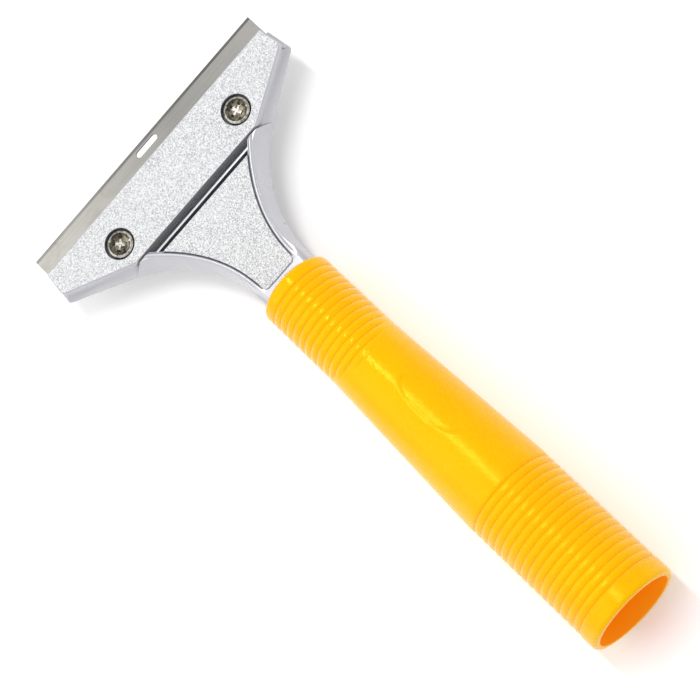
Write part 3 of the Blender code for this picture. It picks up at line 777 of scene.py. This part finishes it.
def panel_outline():
    front, rear = CHANNEL_REAR - GAP, PANEL_NECK
    half = [(fan_half(s, 0), s) for s in spread(front, rear - PANEL_CORNER, PANEL_STEP)]
    corner, radius = (PANEL_NECK_HALF, rear), PANEL_CORNER * PANEL_CORNER_SHARE
    half += arc(half[-1], corner, (0, rear), radius, PANEL_CORNER_STEPS)
    return mirrored(half)


def channel_outline(front, rear):
    return mirrored([(panel_half(s), s) for s in spread(front, rear, CHANNEL_STEP)])


def channel_cut(name, front, rear, floor_z):
    return ("DIFFERENCE", slab_mesh(name, channel_outline(front, rear), floor_z, CUT_TOP))


def pocket_outline(side):
    marks = spread(POCKET_FRONT, POCKET_REAR, POCKET_STEP)
    outer = [(side * fan_half(s, RIM_WIDTH - POCKET_WALL), s) for s in marks]
    web = side * POCKET_WEB_HALF
    return outer + [(web, POCKET_REAR), (web, POCKET_FRONT)]


def in_channel(polygon):
    """True for the faces of the channel's floor and walls, but not for its ridge's top: the faces
    that get painted shade.
    """
    centre = polygon.center
    setback = (EDGE_Y - centre.y) / MM
    along = FAN_START - NEAR < setback < CHANNEL_REAR + NEAR
    inside = along and abs(centre.x) < panel_half(setback) * MM
    return inside and 0 < centre.z < (RIDGE_TOP_Z - JUST_BELOW) * MM


def beside_panel(polygon):
    """True for the narrow groove of the rim's top that runs along the panel's edge, which gets
    painted shade.
    """
    setback = (EDGE_Y - polygon.center.y) / MM
    across = abs(polygon.center.x) / MM
    low, high = fan_half(setback, NEAR), fan_half(setback, GROOVE_WIDTH)
    on_rim = CHANNEL_REAR < setback < PANEL_NECK - PANEL_CORNER and low < across < high
    return on_rim and polygon.center.z > (RIM_Z - GROOVE_DEPTH) * MM


def build_casting(smooth, pebbled, shaded):
    casting = add_mesh("head_body", casting_mesh(), [smooth, pebbled, shaded])
    panel = slab_mesh("panel", panel_outline(), RIM_Z - PANEL_SINK, PANEL_TOP_Z, PANEL_BEVEL)
    steps = [
        ("UNION", tang_mesh()),
        ("UNION", panel),
        channel_cut("channel", FAN_START - GAP, CHANNEL_REAR, RIDGE_TOP_Z),
        channel_cut("trench_a", FAN_START - GAP, RIDGE_FRONT, CHANNEL_FLOOR_Z),
        channel_cut("trench_b", RIDGE_REAR, CHANNEL_REAR, CHANNEL_FLOOR_Z),
    ]
    for side in (-1, 1):
        x = side * SCREW_X
        pocket = slab_mesh("pocket", pocket_outline(side), BASE_Z - CUT_PAST, BASE_Z + POCKET_DEPTH)
        hole = cylinder_mesh("tapping", HOLE_RADIUS, x, SCREW_SETBACK, 2 * BASE_Z, RIM_Z)
        steps += [("DIFFERENCE", pocket), ("DIFFERENCE", hole)]
    combine(casting, steps)
    limit = (PANEL_TOP_Z - JUST_BELOW) * MM
    paint_faces(casting, 1, lambda p: p.normal.z > 0.9 and p.center.z > limit)
    # Painted shade: the channel and the groove beside the panel take the dark recess colour.
    paint_faces(casting, 2, in_channel)
    paint_faces(casting, 2, beside_panel)
    shade(casting, 30)
    weigh_normals(casting)
    return casting


# ---------------------------------------------------------------- plate, blade and screws


def plate_outline():
    front, shoulder = (PLATE_FRONT_HALF, PLATE_FRONT), (PLATE_SHOULDER_HALF, PLATE_SHOULDER)
    rear, middle = (PLATE_REAR_HALF, PLATE_REAR), (0, PLATE_REAR)
    half = arc((0, PLATE_FRONT), front, shoulder, PLATE_FRONT_CORNER, PLATE_FRONT_CORNER_STEPS)
    half += arc(front, shoulder, rear, PLATE_CORNER)
    half += arc(shoulder, rear, middle, PLATE_CORNER)
    return mirrored(half)


def chamfered_plate():
    """The plate's slab with narrow chamfers on its top edges and a wider one along its rear."""
    mesh = slab_mesh("plate", plate_outline(), PLATE_BASE_Z, PLATE_TOP_Z)
    bm = bmesh.new()
    bm.from_mesh(mesh)
    for width, behind in ((PLATE_BEVEL, False), (PLATE_REAR_BEVEL, True)):
        top_z, rear_y = PLATE_TOP_Z * MM, place(0, PLATE_REAR, 0).y
        top = [e for e in bm.edges if all(abs(v.co.z - top_z) < SAME for v in e.verts)]
        rear = [e for e in top if all(abs(v.co.y - rear_y) < SAME for v in e.verts)]
        chosen = rear if behind else [e for e in top if e not in rear]
        bmesh.ops.bevel(bm, geom=chosen, offset=width * MM, segments=1, affect="EDGES")
    return finished_mesh("clamp_plate_body", bm)


def in_bore(polygon):
    """True for the walls and floors of the two counterbores, which get painted shade."""
    centre = polygon.center
    reach, below_top = (BORE_RADIUS + NEAR) * MM, (PLATE_TOP_Z - 2 * JUST_BELOW) * MM
    for side in (-1, 1):
        away = centre - place(side * SCREW_X, SCREW_SETBACK, 0)
        if math.hypot(away.x, away.y) < reach and centre.z < below_top:
            return True
    return False


def build_plate(pebbled, smooth, shaded):
    plate = add_mesh("clamp_plate_body", chamfered_plate(), [smooth, pebbled, shaded])
    steps = []
    floor_z = PLATE_TOP_Z - BORE_DEPTH
    for side in (-1, 1):
        x = side * SCREW_X
        bore = cylinder_mesh("bore", BORE_RADIUS, x, SCREW_SETBACK, floor_z, BORE_CUT_TOP)
        hole = cylinder_mesh("hole", HOLE_RADIUS, x, SCREW_SETBACK, 0, CUT_TOP)
        steps += [("DIFFERENCE", bore), ("DIFFERENCE", hole)]
    combine(plate, steps)
    soften_edges(plate, PLATE_SOFTENING)
    limit = (PLATE_TOP_Z - NEAR) * MM
    paint_faces(plate, 1, lambda p: p.normal.z > 0.99 and p.center.z > limit)
    # Painted shade: the counterbores take the dark recess colour.
    paint_faces(plate, 2, in_bore)
    shade(plate, 50)
    weigh_normals(plate)
    return plate


def stadium(setback):
    """The outline of one of the blade's slots."""
    radius, reach = SLOT_WIDTH / 2, SLOT_LENGTH / 2 - SLOT_WIDTH / 2
    points = []
    for side in (1, -1):
        for step in range(SLOT_STEPS + 1):
            turn = math.radians(-90 + 180 * step / SLOT_STEPS)
            across = side * (reach + radius * math.cos(turn))
            points.append((across, setback + side * radius * math.sin(turn)))
    return points


def build_blade(material):
    top, middle = BLADE_BASE_Z + BLADE_THICKNESS, BLADE_BASE_Z + BLADE_THICKNESS / 2
    land_low, land_high = middle - BLADE_LAND_HALF, middle + BLADE_LAND_HALF
    ring = [(0, land_low), (0, land_high)]
    ring += [(BLADE_GRIND, top), (BLADE_DEPTH - BLADE_GRIND, top)]
    ring += [(BLADE_DEPTH, land_high), (BLADE_DEPTH, land_low)]
    ring += [(BLADE_DEPTH - BLADE_GRIND, BLADE_BASE_Z), (BLADE_GRIND, BLADE_BASE_Z)]
    marks = spread(-BLADE_HALF, BLADE_HALF, BLADE_STEP)
    rows = [[place(x, setback, z) for setback, z in ring] for x in marks]
    blade = add_mesh("steel_blade", grid_mesh("steel_blade", rows, closed=False), [material])
    cuts = []
    for setback in (SLOT_SETBACK, BLADE_DEPTH - SLOT_SETBACK):
        cuts.append(("DIFFERENCE", slab_mesh("slot", stadium(setback), 0, SLOT_CUT_TOP)))
    combine(blade, cuts)
    soften_edges(blade, BLADE_SOFTENING, angle=40, segments=1)
    merge_slivers(blade, BLADE_SLIVER)
    shade(blade, 12)
    return blade


def screw_rows(top, seat):
    """(radius, z, share of the thread) from the middle of the head's top down to the tip."""
    rows = [(CENTRE_RADIUS, top, 0), (DOME_FLAT, top - DOME_SAG, 0)]
    for step in range(1, DOME_STEPS + 1):
        turn = math.radians(90 * step / DOME_STEPS)
        drop = DOME_DROP * (1 - math.cos(turn)) ** DOME_POWER
        rows.append((lerp(DOME_FLAT, HEAD_RADIUS, math.sin(turn)), top - drop, 0))
    rows += [(HEAD_RADIUS, seat + HEAD_EDGE_HEIGHT, 0)]
    rows += [(HEAD_RADIUS - HEAD_EDGE_ROUND, seat, 0), (SHANK_RADIUS, seat, 0)]
    start, end = seat - THREAD_CLEARANCE, TIP_Z + THREAD_FADE
    for z in spread(end, start, THREAD_STEP)[::-1]:
        rows.append((SHANK_RADIUS, z, min(1, (start - z) / THREAD_FADE)))
    rows += [(SHANK_RADIUS - THREAD_DEPTH, TIP_Z, 0), (CENTRE_RADIUS, TIP_Z, 0)]
    return rows


def thread_cut(angle, z):
    """How far the thread's groove cuts into the shank at an angle and a height."""
    turn = (z / THREAD_PITCH - angle / math.tau) % 1
    return THREAD_DEPTH * (1 - abs(2 * turn - 1))


def recess_arm(angle, top, x):
    """A tapered bar of the cross recess, narrower and shorter at its floor."""
    bm = bmesh.new()
    corners = []
    ends = ((top + RECESS_ABOVE, *RECESS_TOP), (top - RECESS_DEPTH, *RECESS_FLOOR))
    for z, length, width in ends:
        for across, along in ((-1, -1), (1, -1), (1, 1), (-1, 1)):
            corners.append(bm.verts.new((across * length * MM, along * width * MM, z * MM)))
    for i in range(4):
        j = (i + 1) % 4
        bm.faces.new((corners[i], corners[j], corners[j + 4], corners[i + 4]))
    bm.faces.new(corners[:4])
    bm.faces.new(corners[4:])
    bmesh.ops.transform(bm, matrix=Matrix.Rotation(angle, 4, "Z"), verts=bm.verts)
    bmesh.ops.translate(bm, vec=place(x, SCREW_SETBACK, 0), verts=bm.verts)
    return finished_mesh("recess", bm)


def painted_highlight_faces(x, top):
    """A test for the faces of a screw's rim ring and of its cross recess, which get painted
    highlight.
    """
    centre = place(x, SCREW_SETBACK, top)

    def test(polygon):
        across = polygon.center - centre
        radius = math.hypot(across.x, across.y) / MM
        steep_or_deep = polygon.normal.z < 0.5 or across.z < -RECESS_FLOOR_DEPTH * MM
        in_recess = radius < RECESS_TOP[0] and steep_or_deep
        on_rim = RIM_RING[0] < radius < RIM_RING[1]
        return across.z > -HIGHLIGHT_DEPTH * MM and (in_recess or on_rim)

    return test


def build_screw(label, side, material, bright):
    seat = PLATE_TOP_Z - BORE_DEPTH + GAP
    top = seat + HEAD_HEIGHT
    x = side * SCREW_X
    rows = []
    for radius, z, share in screw_rows(top, seat):
        row = []
        for i in range(ROUND_SEGMENTS):
            angle = math.tau * i / ROUND_SEGMENTS
            reach = radius - share * thread_cut(angle, z)
            setback = SCREW_SETBACK - reach * math.sin(angle)
            row.append(place(x + reach * math.cos(angle), setback, z))
        rows.append(row)
    name = f"{label}_clamp_screw"
    screw = add_mesh(name, grid_mesh(name, rows, closed=False), [material, bright])
    turns = (RECESS_TURNS[label], RECESS_TURNS[label] + math.pi / 2)
    combine(screw, [("DIFFERENCE", recess_arm(turn, top, x)) for turn in turns])
    # Painted highlight: the rim ring and the cross recess take the highlight colour.
    paint_faces(screw, 1, painted_highlight_faces(x, top))
    shade(screw, 35)
    return screw


# ---------------------------------------------------------------- stage


def aim(item, target):
    item.rotation_mode = "QUATERNION"
    item.rotation_quaternion = (Vector(target) - item.location).to_track_quat("-Z", "Y")


def add_light(name, location, target, size, watts):
    data = bpy.data.lights.new(name, "AREA")
    data.shape = "DISK"
    data.size = size
    data.energy = watts
    light = bpy.data.objects.new(name, data)
    bpy.context.scene.collection.objects.link(light)
    light.location = location
    aim(light, target)
    return light


def add_strip(name, location, target, size, watts):
    """A long narrow light, its length along the handle."""
    light = add_light(name, location, target, size[0], watts)
    light.data.shape = "RECTANGLE"
    light.data.size, light.data.size_y = size
    back = (Vector(location) - Vector(target)).normalized()
    across = Vector((0, 1, 0)).cross(back).normalized()
    turn = Matrix((across, back.cross(across), back)).transposed()
    light.rotation_quaternion = turn.to_quaternion()


def build_stage():
    bm = bmesh.new()
    bmesh.ops.create_grid(bm, x_segments=1, y_segments=1, size=FLOOR_HALF)
    floor = add_mesh("floor", finished_mesh("floor", bm), [floor_material()])
    floor.location.z = CAD_BOX[0].z - FLOOR_DROP
    world = bpy.data.worlds.new("studio")
    bpy.context.scene.world = world
    world.use_nodes = True
    sky = world.node_tree.nodes["Background"]
    sky.inputs["Color"].default_value = (1.0, 1.0, 1.0, 1)
    sky.inputs["Strength"].default_value = WORLD_STRENGTH
    add_light("key", KEY_PLACE, KEY_TARGET, KEY_SIZE, KEY_WATTS)
    add_strip("glint", GLINT_PLACE, GLINT_TARGET, GLINT_SIZE, GLINT_WATTS)
    bpy.context.scene.view_settings.view_transform = "Standard"


def floor_material():
    paint = Paint("pale_floor", (0.98, 0.98, 0.98), 0.8, 0.0)
    grain = paint.noise(40, 2, 0.5)
    paint.colour(paint.mix(grain, (0.975, 0.975, 0.975), (0.985, 0.985, 0.985)))
    paint.shader.inputs["Emission Color"].default_value = (1.0, 1.0, 1.0, 1)
    paint.shader.inputs["Emission Strength"].default_value = 0.08
    return paint.material


def build_camera():
    data = bpy.data.cameras.new("camera")
    data.sensor_width, data.lens = CAMERA_SENSOR, CAMERA_LENS
    data.clip_start, data.clip_end = CAMERA_CLIP
    camera = bpy.data.objects.new("camera", data)
    bpy.context.scene.collection.objects.link(camera)
    right = Vector(CAMERA_RIGHT).normalized()
    up = Vector(CAMERA_UP)
    up = (up - right * up.dot(right)).normalized()
    back = right.cross(up)
    turn = Matrix((right, up, back)).transposed()
    camera.matrix_world = Matrix.Translation(CAMERA_PLACE) @ turn.to_4x4()
    bpy.context.scene.camera = camera


def main():
    smooth, pebbled, shaded = smooth_silver(), pebbled_silver(), shaded_cast()
    nickel, bright = screw_nickel(), painted_highlight_nickel()
    pieces = (
        (build_handle(yellow_plastic(), inner_plastic()), "head", "handle", "yellow_plastic"),
        (build_casting(smooth, pebbled, shaded), "head", "head_casting", "cast_alloy"),
        (build_plate(pebbled, smooth, shaded), "plate", "clamp_plate", "pebbled_alloy"),
        (build_blade(blade_steel()), "strip", "blade", "blade_steel"),
        (build_screw("left", -1, nickel, bright), "left_screw", "clamp_screw_left", "screw_steel"),
        (
            build_screw("right", 1, nickel, bright),
            "right_screw", "clamp_screw_right", "screw_steel",
        ),
    )
    for item, body, node, slot in pieces:
        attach(item, body)
        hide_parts(node)
    build_stage()
    build_camera()


main()
